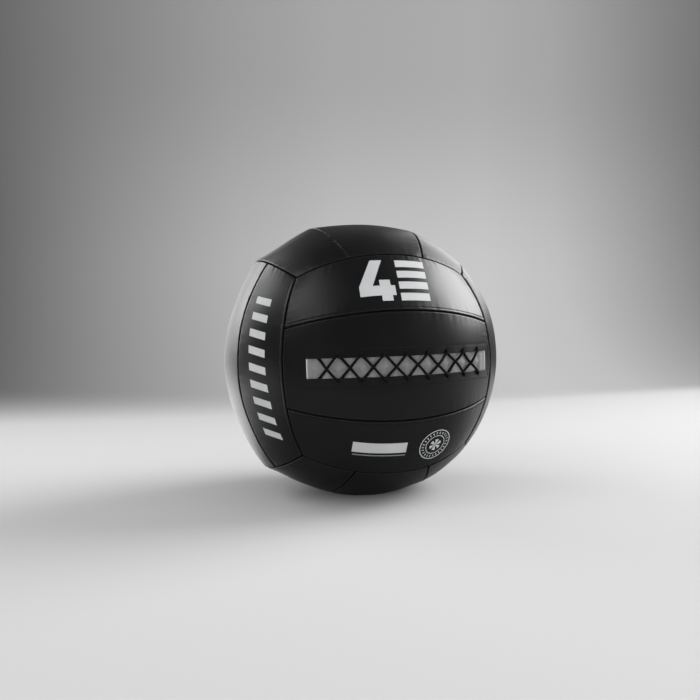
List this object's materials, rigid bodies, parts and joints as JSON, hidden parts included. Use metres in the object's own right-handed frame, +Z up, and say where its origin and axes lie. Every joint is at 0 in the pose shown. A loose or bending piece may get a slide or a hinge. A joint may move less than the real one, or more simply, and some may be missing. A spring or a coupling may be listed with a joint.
{
  "type": "wall ball",
  "caption": "Soft-shell wall ball for throwing drills: black sewn panels over a lining, fibre filling and a weighted core, with a laced filling slot and grey tongue",
  "frame": {"origin": "middle of the flat patch that the ball stands on", "axes": "+Z up, the laced filling slot faces -Y, and its strips run along X"},
  "size_m": [0.356, 0.3588, 0.349],
  "materials": {
    "panel_leather": "satin",
    "seam_thread": "matte",
    "lace_cord": "matte",
    "tongue_cloth": "matte",
    "facing_cloth": "matte",
    "lining_cloth": "matte",
    "filling_fibre": "matte",
    "core_canvas": "matte",
    "core_granules": "matte"
  },
  "bodies": {
    "root": {"panel_front_lower": "panel_leather", "panel_front_middle": "panel_leather", "panel_front_upper": "panel_leather", "panel_back_lower": "panel_leather", "panel_back_middle": "panel_leather", "panel_back_upper": "panel_leather", "panel_left_front": "panel_leather", "panel_left_middle": "panel_leather", "panel_left_back": "panel_leather", "panel_right_front": "panel_leather", "panel_right_middle": "panel_leather", "panel_right_back": "panel_leather", "panel_top_left": "panel_leather", "panel_top_middle": "panel_leather", "panel_top_right": "panel_leather", "panel_bottom_left": "panel_leather", "panel_bottom_middle": "panel_leather", "panel_bottom_right": "panel_leather", "thread_front_lower_middle": "seam_thread", "thread_front_upper_middle": "seam_thread", "thread_back_lower_middle": "seam_thread", "thread_back_upper_middle": "seam_thread", "thread_left_front_middle": "seam_thread", "thread_left_back_middle": "seam_thread", "thread_right_front_middle": "seam_thread", "thread_right_back_middle": "seam_thread", "thread_top_left_middle": "seam_thread", "thread_top_right_middle": "seam_thread", "thread_bottom_left_middle": "seam_thread", "thread_bottom_right_middle": "seam_thread", "thread_front_left": "seam_thread", "thread_front_right": "seam_thread", "thread_front_top": "seam_thread", "thread_front_bottom": "seam_thread", "thread_back_left": "seam_thread", "thread_back_right": "seam_thread", "thread_back_top": "seam_thread", "thread_back_bottom": "seam_thread", "thread_left_top": "seam_thread", "thread_left_bottom": "seam_thread", "thread_right_top": "seam_thread", "thread_right_bottom": "seam_thread", "lace": "lace_cord", "slot_tongue": "tongue_cloth", "slot_facing_upper": "facing_cloth", "slot_facing_lower": "facing_cloth", "lining_front": "lining_cloth", "lining_back": "lining_cloth", "filling_upper": "filling_fibre", "filling_lower": "filling_fibre", "core_sack": "core_canvas", "core_tie": "core_canvas", "core_granules": "core_granules"}
  },
  "joints": []
}
